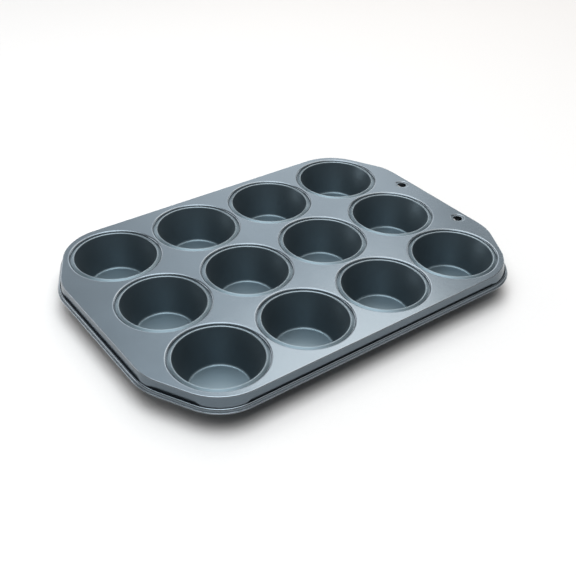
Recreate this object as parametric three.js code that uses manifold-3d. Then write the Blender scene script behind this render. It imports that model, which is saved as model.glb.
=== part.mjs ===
// A twelve-cup muffin tin: one pressed frame sheet with a stepped, hemmed rim, and twelve drawn cups seated
// in its holes.
// Millimetres, +Z up. The origin is on the table under the middle of the tin, +X runs along the long side
// towards the two hanging holes, and the cups' undersides stand on z = 0.

import * as THREE from 'three';
import { mergeVertices } from 'three/addons/utils/BufferGeometryUtils.js';
import Module from 'manifold-3d';

// ---- Driving dimensions ----

const SHEET = 0.6;                    // thickness of the frame's and the cups' steel
const COLUMNS = 4;                    // cups along X
const ROWS = 3;                       // cups along Y
const PITCH = 81.7;                   // between cup centres, both ways
const OPENING_RADIUS = 35;            // inside the cup, at the top of its wall
const CUP_HEIGHT = 31.1;              // from the cup's underside to the top of its lip
const FLOOR_CORNER_RADIUS = 25.2;     // where the straight wall would meet the flat floor
const FLOOR_FILLET = 2.5;             // between floor and wall
const MOUTH_ROUNDING = 1;             // between wall and lip
const LIP_CREST_RADIUS = 36.2;        // the lip's highest line
const LIP_RADIUS = 38.8;              // the cup's lip lies over the edge of its hole
const LIP_FALL = 0.85;                // from the lip's crest down to the top of its outer edge
const LIP_EDGE = 0.2;                 // height of that edge

// Each outline of the frame is a rectangle whose corners are cut off by a slanting side and then rounded.
// cut is how far the slanting side runs back along X and Y. bend holds the radii at its long-side and
// short-side ends, and bulge how far the outline stands out in those bends.
const TOP_EDGE = { length: 359.6, width: 254.8, cut: [30.5, 56], bend: [47, 47], bulge: [0, 0] };
const SKIRT_FOOT = { length: 360, width: 255.2, cut: [30.6, 57.2], bend: [38, 25], bulge: [0.6, 0.2] };
const HEM = { length: 366, width: 261.2, cut: [32.5, 60], bend: [41, 55], bulge: [0, 0] };
const PLATE_EDGE_RADIUS = 1;          // over the top edge of the skirt
const PLATE_MARGIN = 2;               // the lofted border reaches this far in from the plate's edge

const SKIRT_DEPTH = 8.5;              // from the plate's top down to the rim's step
const GUTTER_DEPTH = 0.9;             // a narrow gutter runs between the skirt and the step
const FOOT_FILLET = 0.3;              // between skirt and gutter
const STEP_INSET = 1.4;               // the step's rounded edge is centred this far inside the hem
const STEP_RADIUS = 1.1;
const HEM_DROP = 3.45;                // from the step's top down to the middle of the hem
const HEM_RADIUS = 0.65;              // the sheet's edge is folded tight under itself
const HEM_ARC = [-150, 100];          // the hem's section, in degrees, from the inside round the outside

const DIP_OUTER_RADIUS = 40.4;        // the sheet dips to a seat round each cup's hole
const DIP_INNER_RADIUS = 39.1;
const HOLE_RADIUS = 36.9;
const PLATE_RISE = 0.25;              // the flat plate lies this far above the lips' highest lines
const SEAT_GAP = 0.15;                // between the cup's lip and the frame under it
const HOLE_CLEARANCE = 0.3;           // between the cup and the edge of its hole

const HANGING_HOLE_X = 170.1;
const HANGING_HOLE_SPACING = 77;
const HANGING_HOLE_MIDDLE_Y = -3;     // the pair sits a little off the tin's middle line
const HANGING_HOLE_RADIUS = 4.3;
const DISH_RADIUS = 7.2;              // the sheet is dished down round each hanging hole
const DISH_DEPTH = 1;

const CUP_SEGMENTS = 24;
const DISH_SEGMENTS = 16;
const BEND_STEPS = [6, 4];            // flat steps round a long-side and a short-side bend
const PLATE_EDGE_STEPS = 2;
const STEP_STEPS = 3;
const HEM_STEPS = 5;
const MOUTH_STEPS = 2;
const MERGE_DISTANCE = 1e-4;
const JOIN = 0.3;                     // how far solids reach into each other before they are joined

// ---- Levels that follow from them ----

const LIP_UNDER = CUP_HEIGHT - LIP_FALL - LIP_EDGE;
const PLATE_Z = CUP_HEIGHT + PLATE_RISE;
const SEAT_DROP = PLATE_Z - LIP_UNDER + SEAT_GAP;

// The frame is drawn with the flat plate's underside on z = 0, then lifted into place.
const FRAME_LIFT = PLATE_Z - SHEET;
const STEP_Z = SHEET - SKIRT_DEPTH;
const GUTTER_Z = STEP_Z - GUTTER_DEPTH;
const HEM_Z = STEP_Z - HEM_DROP;

const radians = THREE.MathUtils.degToRad;

// ---- Solids: meshes are joined as manifolds and read back ----

const wasm = await Module();
wasm.setup();

function toSolid(geometry) {
  const bare = geometry.clone();
  bare.deleteAttribute('normal');
  bare.deleteAttribute('uv');
  const merged = mergeVertices(bare, MERGE_DISTANCE);
  return new wasm.Manifold(new wasm.Mesh({
    numProp: 3,
    vertProperties: new Float32Array(merged.attributes.position.array),
    triVerts: new Uint32Array(merged.index.array),
  }));
}

function toGeometry(solid) {
  const mesh = solid.getMesh();
  const geometry = new THREE.BufferGeometry();
  geometry.setAttribute('position', new THREE.BufferAttribute(mesh.vertProperties, mesh.numProp));
  geometry.setIndex(new THREE.BufferAttribute(mesh.triVerts, 1));
  geometry.computeVertexNormals();
  return geometry;
}

// A solid of revolution about Z from a list of [radius, z] pairs, which run anticlockwise.
function turned(profile, segments) {
  const points = profile.map(([radius, z]) => new THREE.Vector2(radius, z));
  return new THREE.LatheGeometry(points, segments).rotateX(Math.PI / 2);
}

// ---- Outlines: stations round a rectangle with slanting, rounded corners ----

// A station is a point of the outline and its outward normal. end has the bend's corner, radius, bulge
// and steps.
function bendStations(before, end, after) {
  const { corner, radius, bulge, steps } = end;
  const along = corner.clone().sub(before).normalize();
  const next = after.clone().sub(corner).normalize();
  const turn = Math.acos(along.dot(next));
  const start = corner.clone().addScaledVector(along, -radius * Math.tan(turn / 2));
  const startNormal = new THREE.Vector2(along.y, -along.x);
  const centre = start.clone().addScaledVector(startNormal, -radius);
  return Array.from({ length: steps + 1 }, (_, step) => {
    const normal = startNormal.clone().rotateAround(new THREE.Vector2(), (turn * step) / steps);
    const reach = step > 0 && step < steps ? radius + bulge : radius;
    return { point: centre.clone().addScaledVector(normal, reach), normal };
  });
}

function outlineStations({ length, width, cut, bend, bulge }) {
  const corners = [
    new THREE.Vector2(length / 2 - cut[0], width / 2),
    new THREE.Vector2(length / 2, width / 2 - cut[1]),
  ];
  const place = (kind, signX, signY) => ({
    corner: corners[kind].clone().multiply(new THREE.Vector2(signX, signY)),
    radius: bend[kind],
    bulge: bulge[kind],
    steps: BEND_STEPS[kind],
  });
  const [long, short] = [0, 1];
  const ends = [
    place(short, 1, 1), place(long, 1, 1), place(long, -1, 1), place(short, -1, 1),
    place(short, -1, -1), place(long, -1, -1), place(long, 1, -1), place(short, 1, -1),
  ];
  return ends.flatMap((end, i) => {
    const next = ends[(i + 1) % ends.length];
    return bendStations(ends.at(i - 1).corner, end, next.corner);
  });
}

function offsetPoint({ point, normal }, offset) {
  return point.clone().addScaledVector(normal, offset);
}

// A closed ring: each row is one loop of points at one height, and the rows run anticlockwise round its
// section.
function loftRows(rows) {
  const positions = rows.flatMap(({ loop, z }) => loop.flatMap((point) => [point.x, point.y, z]));
  const count = rows[0].loop.length;
  const index = [];
  rows.forEach((_, row) => {
    const here = row * count;
    const next = ((row + 1) % rows.length) * count;
    for (let i = 0; i < count; i += 1) {
      const k = (i + 1) % count;
      index.push(here + i, here + k, next + k, here + i, next + k, next + i);
    }
  });
  const geometry = new THREE.BufferGeometry();
  geometry.setAttribute('position', new THREE.Float32BufferAttribute(positions, 3));
  geometry.setIndex(index);
  return geometry;
}

function arc(centreX, centreZ, radius, fromDeg, toDeg, steps) {
  return Array.from({ length: steps + 1 }, (_, step) => {
    const angle = radians(THREE.MathUtils.lerp(fromDeg, toDeg, step / steps));
    return [centreX + radius * Math.cos(angle), centreZ + radius * Math.sin(angle)];
  });
}

// ---- Frame sheet ----

// Rows of the border, out underneath and back over the top: plate edge, skirt, gutter, step and folded hem.
function borderRows() {
  const rowAlong = (outline) => {
    const stations = outlineStations(outline);
    return ([offset, z]) => ({ loop: stations.map((at) => offsetPoint(at, offset)), z });
  };
  const top = rowAlong(TOP_EDGE);
  const foot = rowAlong(SKIRT_FOOT);
  const hem = rowAlong(HEM);
  const step = (radius, fromDeg, toDeg) => {
    const section = arc(-STEP_INSET, STEP_Z - STEP_RADIUS, radius, fromDeg, toDeg, STEP_STEPS);
    return section.map(hem);
  };
  const edgeCentre = [-PLATE_EDGE_RADIUS, SHEET - PLATE_EDGE_RADIUS];
  const wallOutside = STEP_RADIUS - STEP_INSET;
  return [
    ...[[-PLATE_MARGIN, SHEET], [-PLATE_MARGIN, 0], [-PLATE_EDGE_RADIUS, 0]].map(top),
    top([-SHEET, SHEET - PLATE_EDGE_RADIUS]),
    foot([-SHEET, GUTTER_Z - SHEET + FOOT_FILLET]),
    foot([0, GUTTER_Z - SHEET]),
    ...step(STEP_RADIUS - SHEET, 90, 0),
    hem([wallOutside - SHEET, HEM_Z]),
    ...arc(0, HEM_Z, HEM_RADIUS, ...HEM_ARC, HEM_STEPS).map(hem),
    hem([wallOutside, HEM_Z + HEM_RADIUS + FOOT_FILLET]),
    ...step(STEP_RADIUS, 0, 90),
    foot([FOOT_FILLET, GUTTER_Z]),
    foot([0, GUTTER_Z + FOOT_FILLET]),
    ...arc(...edgeCentre, PLATE_EDGE_RADIUS, 0, 90, PLATE_EDGE_STEPS).map(top),
  ];
}

function cupCentres() {
  const centres = [];
  for (let row = 0; row < ROWS; row += 1) {
    for (let column = 0; column < COLUMNS; column += 1) {
      centres.push({
        name: `cup_r${row + 1}c${column + 1}`,
        x: (column - (COLUMNS - 1) / 2) * PITCH,
        y: ((ROWS - 1) / 2 - row) * PITCH,
      });
    }
  }
  return centres;
}

function hangingHoleCentres() {
  return [-1, 1].map((side) => ({
    x: HANGING_HOLE_X,
    y: HANGING_HOLE_MIDDLE_Y + (side * HANGING_HOLE_SPACING) / 2,
  }));
}

// The same many-sided circle that turned() gives, so a hole and the ring set in it have parallel sides.
function ringPath(centre, radius, segments) {
  const points = Array.from({ length: segments }, (_, i) => {
    const angle = (i / segments) * 2 * Math.PI;
    return new THREE.Vector2(centre.x + radius * Math.sin(angle), centre.y - radius * Math.cos(angle));
  });
  return new THREE.Path(points);
}

function flatPlate() {
  const edge = outlineStations(TOP_EDGE).map((at) => offsetPoint(at, JOIN - PLATE_MARGIN));
  const shape = new THREE.Shape(edge);
  for (const cup of cupCentres()) {
    shape.holes.push(ringPath(cup, DIP_OUTER_RADIUS, CUP_SEGMENTS));
  }
  for (const hole of hangingHoleCentres()) {
    shape.holes.push(ringPath(hole, DISH_RADIUS, DISH_SEGMENTS));
  }
  return new THREE.ExtrudeGeometry(shape, { depth: SHEET, bevelEnabled: false });
}

// A ring of sheet pressed down round a hole, from its flat edge in the plate down a slope to a flat bottom.
function pressedRing(at, holeRadius, slopeStart, slopeEnd, depth, segments) {
  const low = SHEET - depth;
  const outer = slopeEnd + JOIN;
  const profile = [
    [holeRadius, low],
    [holeRadius, -depth],
    [slopeStart, -depth],
    [slopeEnd, 0],
    [outer, 0],
    [outer, SHEET],
    [slopeEnd, SHEET],
    [slopeStart, low],
    [holeRadius, low],
  ];
  return turned(profile, segments).translate(at.x, at.y, 0);
}

// The seat on which a cup's lip rests.
function cupSeat(cup) {
  return pressedRing(cup, HOLE_RADIUS, DIP_INNER_RADIUS, DIP_OUTER_RADIUS, SEAT_DROP, CUP_SEGMENTS);
}

function hangingDish(hole) {
  const flatEnd = HANGING_HOLE_RADIUS + DISH_DEPTH;
  return pressedRing(hole, HANGING_HOLE_RADIUS, flatEnd, DISH_RADIUS, DISH_DEPTH, DISH_SEGMENTS);
}

function frameSheet() {
  let solid = toSolid(loftRows(borderRows())).add(toSolid(flatPlate()));
  for (const cup of cupCentres()) {
    solid = solid.add(toSolid(cupSeat(cup)));
  }
  for (const hole of hangingHoleCentres()) {
    solid = solid.add(toSolid(hangingDish(hole)));
  }
  return toGeometry(solid);
}

// ---- Drawn cup ----

// The cup's section: middle of its underside, up the outside, round the lip and down the inside.
function cupProfile() {
  const mouthZ = CUP_HEIGHT - MOUTH_ROUNDING;
  const lean = Math.atan((OPENING_RADIUS - FLOOR_CORNER_RADIUS) / (mouthZ - SHEET));
  const tangent = Math.tan((Math.PI / 2 - lean) / 2);
  const wallShift = SHEET / Math.cos(lean);
  const cornerShift = SHEET * tangent;
  const neckRadius = HOLE_RADIUS - HOLE_CLEARANCE;
  const mouth = arc(OPENING_RADIUS + MOUTH_ROUNDING, mouthZ, MOUTH_ROUNDING, 90, 180, MOUTH_STEPS);

  // Floor corner: flat floor up to the fillet, the fillet's middle, and where the wall leaves it.
  const corner = (cornerRadius, floorZ, fillet) => {
    const reach = fillet * tangent;
    const centre = cornerRadius - reach;
    const middle = (Math.PI / 2 - lean) / 2;
    return [
      [centre, floorZ],
      [centre + fillet * Math.sin(middle), floorZ + fillet * (1 - Math.cos(middle))],
      [cornerRadius + reach * Math.sin(lean), floorZ + reach * Math.cos(lean)],
    ];
  };

  return [
    [0, 0],
    ...corner(FLOOR_CORNER_RADIUS + cornerShift, 0, FLOOR_FILLET + SHEET),
    [OPENING_RADIUS + wallShift, mouthZ],
    [neckRadius, LIP_UNDER],
    [LIP_RADIUS, LIP_UNDER],
    [LIP_RADIUS, CUP_HEIGHT - LIP_FALL],
    [LIP_CREST_RADIUS, CUP_HEIGHT],
    ...mouth,
    ...corner(FLOOR_CORNER_RADIUS, SHEET, FLOOR_FILLET).reverse(),
    [0, SHEET],
  ];
}

// ---- Assembly ----

function coating(name, colour, roughness, metalness) {
  return new THREE.MeshStandardMaterial({ name, color: colour, roughness, metalness });
}

const tin = new THREE.Group();

function addPiece(name, geometry, material, x, y, z) {
  const mesh = new THREE.Mesh(geometry, material);
  mesh.name = name;
  mesh.position.set(x, y, z);
  tin.add(mesh);
}

const cupGeometry = turned(cupProfile(), CUP_SEGMENTS);

addPiece('frame_sheet', frameSheet(), coating('coated_sheet', 0x8b98a2, 0.38, 0.55), 0, 0, FRAME_LIFT);
for (const cup of cupCentres()) {
  addPiece(cup.name, cupGeometry, coating('coated_cup', 0x6f7c86, 0.4, 0.55), cup.x, cup.y, 0);
}

export default tin;
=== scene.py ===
# The looks of a twelve-cup muffin tin, for Blender 4.5: fine meshes and procedural coatings round the packed
# CAD frame.
# Shapes are drawn in millimetres in the frame's own axes, and stored in metres.

import math

import bmesh
import bpy
from mathutils import Matrix, Vector, noise
from mathutils.geometry import delaunay_2d_cdt


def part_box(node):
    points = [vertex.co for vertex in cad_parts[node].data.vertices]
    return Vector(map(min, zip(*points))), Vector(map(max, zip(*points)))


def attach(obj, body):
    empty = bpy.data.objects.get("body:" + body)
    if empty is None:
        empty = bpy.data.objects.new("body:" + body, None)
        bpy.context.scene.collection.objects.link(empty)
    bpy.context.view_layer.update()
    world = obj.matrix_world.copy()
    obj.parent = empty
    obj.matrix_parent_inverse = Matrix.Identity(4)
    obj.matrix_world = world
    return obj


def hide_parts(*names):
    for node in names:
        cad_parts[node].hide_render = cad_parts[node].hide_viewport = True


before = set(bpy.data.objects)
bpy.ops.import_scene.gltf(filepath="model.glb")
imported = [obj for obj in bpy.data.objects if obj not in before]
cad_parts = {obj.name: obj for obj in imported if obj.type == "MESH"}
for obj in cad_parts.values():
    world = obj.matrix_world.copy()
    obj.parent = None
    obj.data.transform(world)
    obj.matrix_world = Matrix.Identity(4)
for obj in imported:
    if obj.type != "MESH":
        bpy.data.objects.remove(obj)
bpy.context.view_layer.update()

MM = 0.001
CUPS = sorted(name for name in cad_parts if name.startswith("cup_"))


def box_mm(node):
    low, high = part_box(node)
    return low / MM, high / MM


FRAME_LOW, FRAME_HIGH = box_mm("frame_sheet")
CUP_LOW, CUP_HIGH = box_mm(CUPS[0])

# ---- Border of the frame sheet, mm ----

SHEET = 0.6
PLATE_Z = FRAME_HIGH.z
PLATE_MARGIN = 2.0                    # the border reaches this far in from the plate's edge
PLATE_EDGE_RADIUS = 0.75
EDGE_SUPPORT = 0.2                    # a row of points this far from a bend keeps the flat beside it flat
STEP_Z = PLATE_Z - 8.5                # top of the rim's step
STEP_INSET = 1.5
STEP_RADIUS = 1.2
GUTTER_DEPTH = 1.5                    # a narrow gutter runs between the skirt and the step
FOOT_FILLET = 0.3
HEM_RADIUS = 0.65
HEM_Z = FRAME_LOW.z + HEM_RADIUS
HEM_START = 100                       # degrees, where the hem's round takes over from the wall's flare

# The wall below the step flares out into the hem, whose folded edge comes back underneath to the
# wall's inside. Each point is (out from the wall's face on that side, up from the hem's middle).
HEM_FLARE = [(0, 1.3), (0, 1.1), (0.04, 0.85), (0.13, 0.7)]
HEM_RETURN = [
    (0, -HEM_RADIUS), (-0.35, -HEM_RADIUS), (-0.45, 0.1 - HEM_RADIUS), (-0.45, 0.5 - HEM_RADIUS),
    (-0.35, 0), (0, 0), (0, 0.3),
]

# Each outline is a rectangle whose corners are cut off by a slanting side and then rounded. cut is how far
# the slanting side runs back along X and Y. bend and bulge are for its long-side and short-side ends.
TOP_EDGE = {"length": 360.2, "width": 255.6, "cut": (31.5, 57.8), "bend": (47, 47), "bulge": (0, 0)}
SKIRT_FOOT = {"length": 360.8, "width": 256.2, "cut": (31.7, 59.2), "bend": (38, 25), "bulge": (0.7, 0.3)}
HEM = {
    "length": FRAME_HIGH.x - FRAME_LOW.x - 2 * HEM_RADIUS,
    "width": FRAME_HIGH.y - FRAME_LOW.y - 2 * HEM_RADIUS,
    "cut": (32.5, 60),
    "bend": (41, 55),
    "bulge": (0, 0),
}
BULGE_RUN = 4.5                       # a bend's bulge rises and falls over this length

# ---- Seats and hanging holes, mm ----

# A dip curves down from its outer radius to a flat bottom, which runs from its inner radius to its hole.
SEAT_DROP = 1.75
DIP_OUTER_RADIUS = 40.78
DIP_INNER_RADIUS = 38.75
HOLE_RADIUS = 37.1
HANGING_HOLES = [(170.1, -41.5), (170.1, 35.5)]
DISH_DEPTH = 0.7
DISH_RADIUS = 7.2
DISH_FLAT_RADIUS = 6.0
HANGING_HOLE_RADIUS = 4.3
FLAT_EDGE = 0.15                      # a dip starts with this much flat, so the plate beside it stays flat
SHOULDER_END = 4                      # degrees of the curve left out, so it meets the bottom at an angle
HOLE_EDGE_DROP = 0.2                  # the sheet turns down by this much at a hole's edge
HOLE_EDGE_ROUNDING = 0.12

# ---- Cup, mm ----

FLOOR_CENTRE_RADIUS = 0.5             # the floor's innermost ring of points
FLOOR_CORNER_RADIUS = 25.2            # where the straight wall would meet the flat floor
FLOOR_FILLET = 2.5
OPENING_RADIUS = 35                   # inside the cup, at the top of its wall
MOUTH_ROUNDING = 1.0                  # between wall and lip
LIP_CREST_RADIUS = 36.2               # the lip's highest line
LIP_BEND_RADIUS = 36.4                # where the lip's slope, drawn on, would meet the level of its crest
LIP_BEND_ROUNDING = 1.2
LIP_RADIUS = 38.45                    # the cup's lip lies over the edge of its hole
LIP_FALL = 1.2                        # from the lip's crest to the top of its outer edge
LIP_EDGE = 0.12                       # height of that edge
LIP_EDGE_RISE = 0.06                  # the slope's end stands this much above it, before it is rounded
LIP_EDGE_ROUNDING = 0.16
NECK_CLEARANCE = 0.3                  # between the cup and the edge of its hole

# ---- Mesh ----

BEND_STEPS = 24
STRAIGHT_STEPS = {"long": 36, "slant": 10, "short": 16}
SKIRT_ROWS = (0.06, 0.35, 0.65, 0.94) # shares of the way down the skirt's outside
SKIRT_INSIDE_ROWS = (0.06, 0.5, 0.94) # and up its inside
GUTTER_ROWS = (0.25, 0.75)
OUTSIDE_BEND_ROWS = 8
INSIDE_BEND_ROWS = 5
FILLET_ROWS = 4
HEM_ROWS = 16
SHOULDER_ROWS = 10
SMALL_BEND_ROWS = 5
SEAT_SEGMENTS = 128
DISH_SEGMENTS = 48
PLATE_GRID = 7                        # spacing of the plate's inner points, mm
HOLE_MARGIN = 1.5                     # which keep this far from the holes
BORDER_MARGIN = 2                     # and this far from the border
MEETING_DISTANCE = 1e-4               # points closer than this are one, mm
SLIVER_AREA = 1e-4                    # smaller triangles are dropped, mm2
SHARP_ANGLE = math.radians(50)
SHARPEST_BEND = 1.5                   # radians per mm, where the painted edge highlight is at full strength
SHORTEST_GAP = 0.02                   # between two faces' middles, mm
WAVE_HEIGHT = 0.07                    # pressed sheet is never quite flat, mm
WAVE_LENGTH = 75
WAVE_PLACE = 3.7                      # which slice of the noise the waves are taken from
WAVE_REACH = 3                        # the waves move everything this close under the plate's top

# ---- Finishes ----

# In each finish, the second, lighter colour is a painted highlight along sharp outward bends.
SHEET_COATING = {
    "colour": (0.104, 0.130, 0.152),
    "painted_edge_highlight_colour": (0.34, 0.37, 0.4),
    "roughness": 0.2,
    "metallic": 0.8,
}
CUP_COATING = {
    "colour": (0.120, 0.160, 0.185),
    "painted_edge_highlight_colour": (0.26, 0.29, 0.31),
    "roughness": 0.38,
    "metallic": 0.82,
}
CLOUD_SCALE = 22                      # noise cells per metre
MOTTLE_SCALE = 170
GRAIN_SCALE = 2200
PAPER_SCALE = 300
CLOUD_CONTRAST = 0.1                  # the cloudiness makes the colour this share lighter or darker
PAINTED_HIGHLIGHT_SHARE = 0.5                      # of the painted highlight colour, at the sharpest bends
ROUGHNESS_SPREAD = 0.06
MOTTLE_HEIGHT = 0.00012               # bump heights in metres
MOTTLE_STRENGTH = 0.25
GRAIN_HEIGHT = 0.00003
GRAIN_STRENGTH = 0.3
FLOOR_DARK = (0.61, 0.602, 0.6)
FLOOR_LIGHT = (0.63, 0.622, 0.62)
FLOOR_ROUGHNESS = 0.5

# ---- Studio, m ----

FLOOR_REACH = 4
CAMERA_AZIMUTH = math.radians(-37.73)
CAMERA_ELEVATION = math.radians(35.82)
CAMERA_ROLL = math.radians(1.91)
CAMERA_DISTANCE = 0.7217
CAMERA_TARGET = Vector((-28.2, -41.0, PLATE_Z - 0.8)) * MM
CAMERA_LENS = 54.47                   # mm, with the sensor
CAMERA_SENSOR = 36
CAMERA_BACK = Vector((
    math.sin(CAMERA_AZIMUTH) * math.cos(CAMERA_ELEVATION),
    -math.cos(CAMERA_AZIMUTH) * math.cos(CAMERA_ELEVATION),
    math.sin(CAMERA_ELEVATION),
))

DOWN = None
AT_TIN = (0, 0, 0)

# Each softbox is its name, centre, size, radiance, colour, and where it faces.
SOFTBOXES = [
    ("key_back_right", (0.755, 0.605, 1.0), (0.63, 0.6), 3.6, (1, 0.9, 0.81), DOWN),
    ("fill_right", (0.55, -0.05, 1.0), (0.7, 0.7), 1.6, (1, 0.95, 0.9), DOWN),
    ("top_strip", (-0.09, 0.08, 1.0), (0.85, 1.05), 3.3, (0.95, 1, 1.02), DOWN),
    ("side_left", (-0.95, 0.9, 0.45), (0.7, 0.5), 3.2, (1, 1, 1), AT_TIN),
    ("back_left", (-0.12, 1.3, 0.55), (0.7, 0.5), 2.6, (1, 1, 1), AT_TIN),
    ("back_right", (1.3, 0.4, 0.5), (0.6, 0.5), 2.0, (1, 1, 1), AT_TIN),
    ("over_camera", (-0.32, -0.42, 1.0), (0.45, 0.45), 2.6, (0.95, 1, 1.02), DOWN),
]
FLOOR_SOFTBOX = ("floor_fill", (-0.28, -0.28, 1.0), (0.95, 0.95), 3.6, (1, 1, 1), DOWN)

# The room's ramps run over the part of a direction along an axis, from its first number to its second.
ROOM_COLOUR = (0.95, 0.98, 1)
ROOM_BACK = 0.2
ROOM_FRONT = 0.15
WALL_RAMP = (-0.7, 0.5)
PANEL_RADIANCE = 2.1
PANEL_AZIMUTH = math.radians(40)
PANEL_LEFT_RAMP = (-0.43, -0.09)
PANEL_RIGHT_RAMP = (0.06, 0.26)
PANEL_FRONT_RAMP = (-0.2, 0.1)

# ---- Sections ----


def rounded(corners, steps=7, support=0.35):
    """Points (x, z) along a line through corners (x, z, radius), with each corner turned into an arc.
    Points a little before and after each arc keep the flats beside it flat when they are shaded smooth."""
    points = []
    for i, (x, z, radius) in enumerate(corners):
        here = Vector((x, z))
        if not radius:
            points.append((x, z))
            continue
        before = (Vector(corners[i - 1][:2]) - here).normalized()
        after = (Vector(corners[i + 1][:2]) - here).normalized()
        half = before.angle(after) / 2
        reach = radius / math.tan(half)
        centre = here + (before + after).normalized() * radius / math.sin(half)
        sweep = math.copysign(math.pi - 2 * half, after.cross(before))
        spoke = here + before * reach - centre
        points.append(tuple(here + before * reach * (1 + support)))
        for step in range(steps + 1):
            points.append(tuple(centre + Matrix.Rotation(sweep * step / steps, 2) @ spoke))
        points.append(tuple(here + after * reach * (1 + support)))
    return points


def arc(centre, radii, from_deg, to_deg, steps):
    angles = [math.radians(from_deg + (to_deg - from_deg) * i / steps) for i in range(steps + 1)]
    return [(centre[0] + radii[0] * math.cos(a), centre[1] + radii[1] * math.sin(a)) for a in angles]


def smooth(t):
    t = min(max(t, 0), 1)
    return t * t * (3 - 2 * t)


# ---- Outlines: stations round a rectangle with slanting, rounded corners ----


def bend_stations(before, corner, after, radius, bulge):
    along = (corner - before).normalized()
    turn = along.angle((after - corner).normalized())
    start = corner - along * radius * math.tan(turn / 2)
    first_normal = Vector((along.y, -along.x))
    centre = start - first_normal * radius
    length = radius * turn
    stations = []
    for step in range(BEND_STEPS + 1):
        share = step / BEND_STEPS
        normal = Matrix.Rotation(turn * share, 2) @ first_normal
        swell = bulge * smooth(min(share, 1 - share) * length / BULGE_RUN)
        stations.append((centre + normal * (radius + swell), normal))
    return stations


def outline_stations(outline):
    """Points and outward normals round an outline, anticlockwise, with the same count for every outline."""
    x, y = outline["length"] / 2, outline["width"] / 2
    cut_x, cut_y = outline["cut"]
    long_end = (x - cut_x, y, outline["bend"][0], outline["bulge"][0])
    short_end = (x, y - cut_y, outline["bend"][1], outline["bulge"][1])
    walk = [
        (short_end, 1, 1, "slant"), (long_end, 1, 1, "long"),
        (long_end, -1, 1, "slant"), (short_end, -1, 1, "short"),
        (short_end, -1, -1, "slant"), (long_end, -1, -1, "long"),
        (long_end, 1, -1, "slant"), (short_end, 1, -1, "short"),
    ]
    corners = [Vector((end[0] * sx, end[1] * sy)) for end, sx, sy, _ in walk]
    bends = [
        bend_stations(corners[i - 1], corners[i], corners[(i + 1) % len(walk)], end[2], end[3])
        for i, (end, _, _, _) in enumerate(walk)
    ]
    stations = []
    for i, (_, _, _, side) in enumerate(walk):
        (start, normal), (finish, _) = bends[i][-1], bends[(i + 1) % len(walk)][0]
        steps = STRAIGHT_STEPS[side]
        stations += bends[i]
        stations += [(start.lerp(finish, step / steps), normal) for step in range(1, steps)]
    return stations


def loop_along(outline):
    """Returns a function from (offset, z) to one loop of points round the outline."""
    stations = outline_stations(outline)

    def loop(at):
        offset, z = at
        return [(p.x + n.x * offset, p.y + n.y * offset, z) for p, n in stations]

    return loop


def between(first, second, share):
    return [Vector(a).lerp(Vector(b), share)[:] for a, b in zip(first, second)]


# ---- Mesh building ----


def add_strip(bm, loops):
    """Quads between each loop of points and the next."""
    rows = [[bm.verts.new(point) for point in loop] for loop in loops]
    for here, there in zip(rows, rows[1:]):
        count = len(here)
        for i in range(count):
            k = (i + 1) % count
            bm.faces.new((here[i], here[k], there[k], there[i]))
    return rows


def circle(centre, radius, z, segments):
    angles = [2 * math.pi * i / segments for i in range(segments)]
    return [(centre[0] + radius * math.cos(a), centre[1] + radius * math.sin(a), z) for a in angles]


def add_lathe(bm, profile, centre, segments):
    return add_strip(bm, [circle(centre, radius, z, segments) for radius, z in profile])


def mark_edges(bm):
    """Stores how sharply the surface bends outwards at each point, where a painted highlight lightens the
    coating.
    """
    layer = bm.verts.layers.float.new("edge")
    bends = {}
    for edge in bm.edges:
        if len(edge.link_faces) == 2:
            first, second = (face.calc_center_median() for face in edge.link_faces)
            bends[edge] = edge.calc_face_angle_signed(0) / max((first - second).length, SHORTEST_GAP)
    for vert in bm.verts:
        sharpest = max([bends.get(edge, 0) for edge in vert.link_edges] + [0])
        vert[layer] = min(sharpest, SHARPEST_BEND) / SHARPEST_BEND


def finish_mesh(bm, name):
    bmesh.ops.remove_doubles(bm, verts=bm.verts, dist=MEETING_DISTANCE)
    bmesh.ops.recalc_face_normals(bm, faces=bm.faces)
    mark_edges(bm)
    bmesh.ops.transform(bm, matrix=Matrix.Scale(MM, 4), verts=bm.verts)
    mesh = bpy.data.meshes.new(name)
    bm.to_mesh(mesh)
    bm.free()
    mesh.polygons.foreach_set("use_smooth", [True] * len(mesh.polygons))
    mesh.set_sharp_from_angle(angle=SHARP_ANGLE)
    piece = bpy.data.objects.new(name, mesh)
    bpy.context.scene.collection.objects.link(piece)
    return piece


# ---- Frame sheet ----


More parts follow.
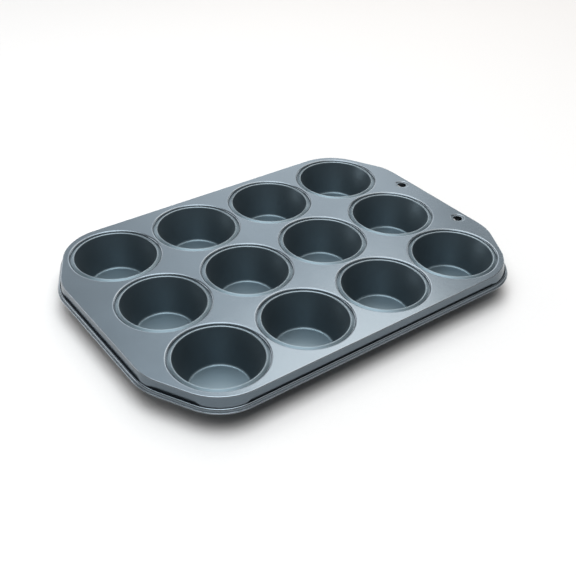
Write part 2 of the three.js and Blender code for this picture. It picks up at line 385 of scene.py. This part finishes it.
def border_loops():
    """Loops from the plate's top, down the skirt, over the step, round the hem and back underneath."""
    top, foot, hem = loop_along(TOP_EDGE), loop_along(SKIRT_FOOT), loop_along(HEM)
    wall = STEP_RADIUS - STEP_INSET
    edge_centre = (-PLATE_EDGE_RADIUS, PLATE_Z - PLATE_EDGE_RADIUS)
    foot_centre = (FOOT_FILLET, STEP_Z - GUTTER_DEPTH + FOOT_FILLET)
    step_centre = (-STEP_INSET, STEP_Z - STEP_RADIUS)

    over = [top((-PLATE_MARGIN, PLATE_Z)), top((-PLATE_EDGE_RADIUS - EDGE_SUPPORT, PLATE_Z))]
    over += [top(at) for at in arc(edge_centre, (PLATE_EDGE_RADIUS,) * 2, 90, 0, OUTSIDE_BEND_ROWS)]
    skirt_foot = [foot(at) for at in arc(foot_centre, (FOOT_FILLET,) * 2, 180, 270, FILLET_ROWS)]
    over += [between(over[-1], skirt_foot[0], share) for share in SKIRT_ROWS] + skirt_foot
    step = [hem(at) for at in arc(step_centre, (STEP_RADIUS,) * 2, 90, 0, OUTSIDE_BEND_ROWS)]
    over += [between(over[-1], step[0], share) for share in GUTTER_ROWS] + step
    over.append(hem((wall, STEP_Z - STEP_RADIUS - EDGE_SUPPORT)))
    over += [hem((wall + out, HEM_Z + up)) for out, up in HEM_FLARE]
    over += [hem(at) for at in arc((0, HEM_Z), (HEM_RADIUS,) * 2, HEM_START, -90, HEM_ROWS)]

    under = [hem((wall - SHEET + out, HEM_Z + up)) for out, up in HEM_RETURN]
    under += [hem(at) for at in arc(step_centre, (STEP_RADIUS - SHEET,) * 2, 0, 90, INSIDE_BEND_ROWS)]
    under += [foot(at) for at in arc(foot_centre, (FOOT_FILLET + SHEET,) * 2, 270, 180, INSIDE_BEND_ROWS)]
    edge = [top(at) for at in arc(edge_centre, (PLATE_EDGE_RADIUS - SHEET,) * 2, 0, 90, INSIDE_BEND_ROWS)]
    under += [between(under[-1], edge[0], share) for share in SKIRT_INSIDE_ROWS] + edge
    under += [top((x, PLATE_Z - SHEET)) for x in (-PLATE_EDGE_RADIUS - EDGE_SUPPORT, -PLATE_MARGIN)]
    return over + under


def cup_centres():
    return {name: (sum(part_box(name), Vector()) / 2 / MM).xy for name in CUPS}


def plate_grid(border, holes):
    """The plate's inner points, in rows, each row half a space along from the last."""
    reach_x, reach_y = max(p.x for p in border), max(p.y for p in border)
    sides = list(zip(border, border[1:] + border[:1]))
    grid = []
    for row in range(-int(reach_y / PLATE_GRID), int(reach_y / PLATE_GRID) + 1):
        for column in range(-int(reach_x / PLATE_GRID), int(reach_x / PLATE_GRID) + 1):
            at = Vector(((column + 0.5 * (row % 2)) * PLATE_GRID, row * PLATE_GRID))
            clear_of_holes = all(
                (at - Vector(centre)).length > radius + HOLE_MARGIN
                for centre, radius, _ in holes
            )
            inside = all(
                (at - p).dot(Vector((q.y - p.y, p.x - q.x)).normalized()) < -BORDER_MARGIN
                for p, q in sides
            )
            if clear_of_holes and inside:
                grid.append(at)
    return grid


def plate_triangles(border, holes):
    """Points and triangles of the flat plate inside the border loop and outside the holes.
    Each hole is its centre, radius and number of segments."""
    border_points = [Vector(point[:2]) for point in border]
    points = list(border_points)
    edges = [(i, (i + 1) % len(points)) for i in range(len(points))]
    for centre, radius, segments in holes:
        first = len(points)
        points += [Vector(point[:2]) for point in circle(centre, radius, 0, segments)]
        edges += [(first + i, first + (i + 1) % segments) for i in range(segments)]
        points.append(Vector(centre))
    points += plate_grid(border_points, holes)

    flat, _, triangles = delaunay_2d_cdt(points, edges, [], 0, MEETING_DISTANCE / 10)[:3]
    kept = []
    for triangle in triangles:
        a, b, c = (flat[i] for i in triangle)
        middle = (a + b + c) / 3
        area = abs((b - a).cross(c - a)) / 2
        in_hole = any(
            (middle - Vector(centre)).length < radius * math.cos(math.pi / segments) - 10 * MEETING_DISTANCE
            for centre, radius, segments in holes
        )
        if area > SLIVER_AREA and not in_hole:
            kept.append(triangle)
    return flat, kept


def add_plate(bm, border, holes):
    flat, triangles = plate_triangles(border, holes)
    for z in (PLATE_Z, PLATE_Z - SHEET):
        verts = [bm.verts.new((p.x, p.y, z)) for p in flat]
        for triangle in triangles:
            bm.faces.new([verts[i] for i in triangle])
    loose = [vert for vert in bm.verts if not vert.link_faces]
    bmesh.ops.delete(bm, geom=loose, context="VERTS")


def sheet_section(surface):
    """A pressed shape's section: its top line, and back along the same line one sheet thickness lower."""
    return surface + [(radius, z - SHEET) for radius, z in reversed(surface)]


def dip_section(outer_radius, inner_radius, hole_radius, depth):
    """The sheet curves over from the flat to the dip's steep inner side, like a quarter of an ellipse."""
    low = PLATE_Z - depth
    start = outer_radius - FLAT_EDGE
    shoulder = arc((start, low), (inner_radius - start, depth), 90, SHOULDER_END, SHOULDER_ROWS)
    bottom = rounded([
        (inner_radius, low, 0),
        (hole_radius, low, HOLE_EDGE_ROUNDING),
        (hole_radius, low - HOLE_EDGE_DROP, 0),
    ], SMALL_BEND_ROWS, 0)
    return sheet_section([(outer_radius, PLATE_Z)] + shoulder + bottom)


def ripple(x, y):
    """The plate's slight waviness."""
    return WAVE_HEIGHT * noise.noise(Vector((x / WAVE_LENGTH, y / WAVE_LENGTH, WAVE_PLACE)))


def build_frame_sheet():
    bm = bmesh.new()
    loops = border_loops()
    add_strip(bm, loops)
    centres = list(cup_centres().values())
    holes = [(tuple(centre), DIP_OUTER_RADIUS, SEAT_SEGMENTS) for centre in centres]
    holes += [(centre, DISH_RADIUS, DISH_SEGMENTS) for centre in HANGING_HOLES]
    add_plate(bm, loops[0], holes)
    seat = dip_section(DIP_OUTER_RADIUS, DIP_INNER_RADIUS, HOLE_RADIUS, SEAT_DROP)
    for centre in centres:
        add_lathe(bm, seat, centre, SEAT_SEGMENTS)
    dish = dip_section(DISH_RADIUS, DISH_FLAT_RADIUS, HANGING_HOLE_RADIUS, DISH_DEPTH)
    for centre in HANGING_HOLES:
        add_lathe(bm, dish, centre, DISH_SEGMENTS)
    for vert in bm.verts:
        if vert.co.z > PLATE_Z - WAVE_REACH:
            vert.co.z += ripple(vert.co.x, vert.co.y)
    return finish_mesh(bm, "frame_sheet_fine")


# ---- Drawn cup ----


def cup_section():
    """From the middle of the inside floor, up the wall, over the lip, and down the outside."""
    floor_z = CUP_LOW.z + SHEET
    lip_z = CUP_HIGH.z
    mouth_z = lip_z - MOUTH_ROUNDING
    edge_z = lip_z - LIP_FALL
    under_z = edge_z - LIP_EDGE
    lean = math.atan2(OPENING_RADIUS - FLOOR_CORNER_RADIUS, mouth_z - floor_z)
    mouth_corner = OPENING_RADIUS + MOUTH_ROUNDING * math.tan(lean)
    corner_shift = SHEET * math.tan((math.pi / 2 - lean) / 2)
    wall_shift = SHEET / math.cos(lean)
    inside = rounded([
        (FLOOR_CENTRE_RADIUS, floor_z, 0),
        (FLOOR_CORNER_RADIUS, floor_z, FLOOR_FILLET),
        (mouth_corner, lip_z, MOUTH_ROUNDING),
        (LIP_CREST_RADIUS, lip_z, 0),
    ])
    fall = rounded([
        (mouth_corner, lip_z, 0),
        (LIP_BEND_RADIUS, lip_z, LIP_BEND_ROUNDING),
        (LIP_RADIUS, edge_z + LIP_EDGE_RISE, LIP_EDGE_ROUNDING),
        (LIP_RADIUS, under_z, 0),
    ], SMALL_BEND_ROWS, 0.1)
    outside = rounded([
        (HOLE_RADIUS - NECK_CLEARANCE, under_z, 0),
        (OPENING_RADIUS + wall_shift, mouth_z, 0),
        (FLOOR_CORNER_RADIUS + corner_shift, CUP_LOW.z, FLOOR_FILLET + SHEET),
        (FLOOR_CENTRE_RADIUS, CUP_LOW.z, 0),
    ])
    return inside[:-1] + fall[1:] + outside


def build_cup(name, centre):
    bm = bmesh.new()
    rows = add_lathe(bm, cup_section(), centre, SEAT_SEGMENTS)
    bm.faces.new(rows[0])
    bm.faces.new(rows[-1])
    return finish_mesh(bm, name + "_fine")


# ---- Materials ----


def add_node(tree, kind, inputs=(), **settings):
    """A shader node. Each input is named or numbered, and takes a value or another node's socket."""
    made = tree.nodes.new(kind)
    for name, value in settings.items():
        setattr(made, name, value)
    for key, value in dict(inputs).items():
        if isinstance(value, bpy.types.NodeSocket):
            tree.links.new(value, made.inputs[key])
        else:
            made.inputs[key].default_value = value
    return made


def math_node(tree, operation, first, second):
    return add_node(tree, "ShaderNodeMath", {0: first, 1: second}, operation=operation).outputs[0]


def remap(tree, value, low, high):
    """value, which runs from 0 to 1, turned into low to high."""
    inputs = {"Value": value, "To Min": low, "To Max": high}
    return add_node(tree, "ShaderNodeMapRange", inputs).outputs["Result"]


def mix_colours(tree, factor, first, second):
    # Inputs 0, 6 and 7 and output 2 are the colour mix's factor, colours and result.
    inputs = {0: factor}
    for key, colour in ((6, first), (7, second)):
        inputs[key] = colour if isinstance(colour, bpy.types.NodeSocket) else (*colour, 1)
    return add_node(tree, "ShaderNodeMix", inputs, data_type="RGBA").outputs[2]


def noise_value(tree, place, scale, detail=2.0):
    inputs = {"Vector": place, "Scale": scale, "Detail": detail}
    return add_node(tree, "ShaderNodeTexNoise", inputs).outputs["Fac"]


def coating(name, colour, painted_edge_highlight_colour, roughness, metallic):
    """A satin baked coating on pressed steel: fine grain, soft cloudiness and a painted highlight along
    sharp outward bends.
    """
    material = bpy.data.materials.new(name)
    material.use_nodes = True
    tree = material.node_tree
    tree.nodes.clear()
    place = add_node(tree, "ShaderNodeTexCoord").outputs["Object"]
    cloud = noise_value(tree, place, CLOUD_SCALE)
    mottle = noise_value(tree, place, MOTTLE_SCALE, 3)
    grain = noise_value(tree, place, GRAIN_SCALE)
    edge = add_node(tree, "ShaderNodeAttribute", attribute_name="edge").outputs["Fac"]

    light_colour = [channel * (1 + CLOUD_CONTRAST) for channel in colour]
    dark_colour = [channel * (1 - CLOUD_CONTRAST) for channel in colour]
    film = mix_colours(tree, cloud, dark_colour, light_colour)
    # painted highlight: the colour turns lighter where the surface bends sharply outwards
    shade = mix_colours(tree, remap(tree, edge, 0, PAINTED_HIGHLIGHT_SHARE), film, painted_edge_highlight_colour)

    mean = math_node(tree, "MULTIPLY", math_node(tree, "ADD", cloud, grain), 0.5)
    rough = remap(tree, mean, roughness - ROUGHNESS_SPREAD, roughness + ROUGHNESS_SPREAD)
    orange_peel = add_node(tree, "ShaderNodeBump", {
        "Height": mottle, "Strength": MOTTLE_STRENGTH, "Distance": MOTTLE_HEIGHT,
    })
    fine = add_node(tree, "ShaderNodeBump", {
        "Height": grain, "Strength": GRAIN_STRENGTH, "Distance": GRAIN_HEIGHT,
        "Normal": orange_peel.outputs["Normal"],
    })
    surface = add_node(tree, "ShaderNodeBsdfPrincipled", {
        "Base Color": shade, "Metallic": metallic, "Roughness": rough, "Normal": fine.outputs["Normal"],
    })
    add_node(tree, "ShaderNodeOutputMaterial", {"Surface": surface.outputs["BSDF"]})
    return material


def floor_material():
    """Plain pale paper, seen only from above."""
    material = bpy.data.materials.new("floor_paper")
    material.use_nodes = True
    tree = material.node_tree
    tree.nodes.clear()
    place = add_node(tree, "ShaderNodeTexCoord").outputs["Object"]
    tone = mix_colours(tree, noise_value(tree, place, PAPER_SCALE), FLOOR_DARK, FLOOR_LIGHT)
    paper = add_node(tree, "ShaderNodeBsdfDiffuse", {"Color": tone, "Roughness": FLOOR_ROUGHNESS})
    clear = add_node(tree, "ShaderNodeBsdfTransparent")
    below = add_node(tree, "ShaderNodeNewGeometry").outputs["Backfacing"]
    shown = add_node(tree, "ShaderNodeMixShader", {0: below, 1: paper.outputs[0], 2: clear.outputs[0]})
    add_node(tree, "ShaderNodeOutputMaterial", {"Surface": shown.outputs[0]})
    return material


# ---- Studio ----


def add_camera():
    right = Vector((math.cos(CAMERA_AZIMUTH), math.sin(CAMERA_AZIMUTH), 0))
    up = CAMERA_BACK.cross(right)
    rolled_right = right * math.cos(CAMERA_ROLL) + up * math.sin(CAMERA_ROLL)
    rolled_up = up * math.cos(CAMERA_ROLL) - right * math.sin(CAMERA_ROLL)
    data = bpy.data.cameras.new("camera")
    data.lens = CAMERA_LENS
    data.sensor_width = CAMERA_SENSOR
    camera = bpy.data.objects.new("camera", data)
    turn = Matrix((rolled_right, rolled_up, CAMERA_BACK)).transposed()
    camera.matrix_world = Matrix.Translation(CAMERA_TARGET + CAMERA_BACK * CAMERA_DISTANCE) @ turn.to_4x4()
    bpy.context.scene.collection.objects.link(camera)
    bpy.context.scene.camera = camera


def add_floor():
    bm = bmesh.new()
    bmesh.ops.create_grid(bm, x_segments=8, y_segments=8, size=FLOOR_REACH)
    mesh = bpy.data.meshes.new("floor")
    bm.to_mesh(mesh)
    bm.free()
    mesh.materials.append(floor_material())
    floor = bpy.data.objects.new("floor", mesh)
    bpy.context.scene.collection.objects.link(floor)
    return floor


def add_softbox(name, centre, size, radiance, colour, target, only=None):
    """A rectangular lamp, facing its target or straight down. With only set, it lights that object alone."""
    data = bpy.data.lights.new(name, "AREA")
    data.shape = "RECTANGLE"
    data.size, data.size_y = size
    data.energy = radiance * math.pi * size[0] * size[1]
    data.color = colour
    lamp = bpy.data.objects.new(name, data)
    lamp.location = centre
    if target:
        lamp.rotation_euler = (Vector(target) - Vector(centre)).to_track_quat("-Z", "Y").to_euler()
    bpy.context.scene.collection.objects.link(lamp)
    if only:
        receivers = bpy.data.collections.new(name + "_receivers")
        receivers.objects.link(only)
        lamp.light_linking.receiver_collection = receivers


def ramp_along(tree, direction, axis, ramp, low, high):
    """low to high, smoothly, as the part of direction along axis goes from the ramp's start to its end."""
    along = add_node(tree, "ShaderNodeVectorMath", {0: direction, 1: axis}, operation="DOT_PRODUCT")
    inputs = {
        "Value": along.outputs["Value"],
        "From Min": ramp[0], "From Max": ramp[1], "To Min": low, "To Max": high,
    }
    return add_node(tree, "ShaderNodeMapRange", inputs, interpolation_type="SMOOTHSTEP").outputs["Result"]


def add_room():
    """The room is dim all round, with a bright soft panel behind the tin. The camera sees it as white."""
    world = bpy.data.worlds.new("studio")
    world.use_nodes = True
    tree = world.node_tree
    tree.nodes.clear()
    direction = add_node(tree, "ShaderNodeTexCoord").outputs["Generated"]
    toward_camera = Vector((CAMERA_BACK.x, CAMERA_BACK.y, 0)).normalized()
    wall = ramp_along(tree, direction, toward_camera, WALL_RAMP, ROOM_BACK, ROOM_FRONT)
    across = (math.cos(PANEL_AZIMUTH), -math.sin(PANEL_AZIMUTH), 0)
    left_side = ramp_along(tree, direction, across, PANEL_LEFT_RAMP, 0, 1)
    right_side = ramp_along(tree, direction, across, PANEL_RIGHT_RAMP, 1, 0)
    behind = ramp_along(tree, direction, toward_camera, PANEL_FRONT_RAMP, 1, 0)
    panel = math_node(tree, "MULTIPLY", math_node(tree, "MULTIPLY", left_side, right_side), behind)
    level = math_node(tree, "ADD", wall, math_node(tree, "MULTIPLY", panel, PANEL_RADIANCE))
    seen_directly = add_node(tree, "ShaderNodeLightPath").outputs["Is Camera Ray"]
    level = math_node(tree, "MAXIMUM", level, seen_directly)
    back = add_node(tree, "ShaderNodeBackground", {"Color": (*ROOM_COLOUR, 1), "Strength": level})
    add_node(tree, "ShaderNodeOutputWorld", {"Surface": back.outputs["Background"]})
    bpy.context.scene.world = world


# ---- Assembly ----


def place_piece(piece, node, material):
    """The piece stands for the node and takes the material."""
    piece.data.materials.append(material)
    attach(piece, "root")
    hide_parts(node)


def build():
    sheet_coating = coating("fine_sheet_coating", **SHEET_COATING)
    cup_coating = coating("fine_cup_coating", **CUP_COATING)
    place_piece(build_frame_sheet(), "frame_sheet", sheet_coating)
    for name, centre in cup_centres().items():
        place_piece(build_cup(name, centre), name, cup_coating)
    floor = add_floor()
    add_camera()
    for softbox in SOFTBOXES:
        add_softbox(*softbox)
    add_softbox(*FLOOR_SOFTBOX, only=floor)
    add_room()
    bpy.context.scene.view_settings.view_transform = "Standard"


build()
